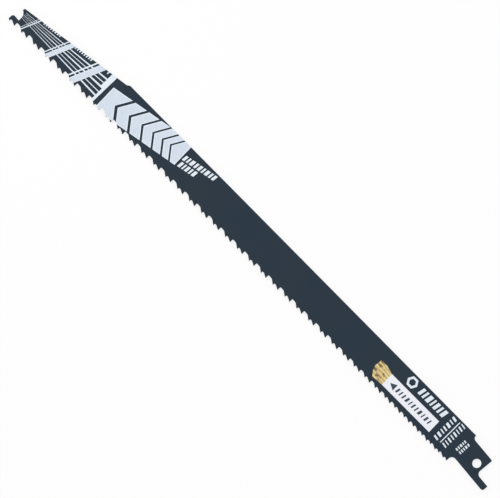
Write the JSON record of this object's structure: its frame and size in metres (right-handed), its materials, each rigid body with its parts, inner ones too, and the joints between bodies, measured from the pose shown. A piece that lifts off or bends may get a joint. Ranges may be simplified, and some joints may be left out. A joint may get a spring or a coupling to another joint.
{
  "type": "reciprocating saw blade",
  "caption": "Long flat reciprocating saw blade with paired set teeth, round gullets, a tapered nose bitten into two jaws, and a tang with a round hole and a side finger.",
  "frame": {"origin": "centre of the tang's hole, halfway through the thickness", "axes": "+X along the stroke, from the tang's centre line towards the nose; +Y towards the teeth; +Z square to the flat side, out of the printed face"},
  "size_m": [0.3032, 0.0423, 0.0018],
  "materials": {
    "coat": "dark blue-grey satin coat with white print"
  },
  "bodies": {
    "root": {"blade": "coat"}
  },
  "joints": []
}
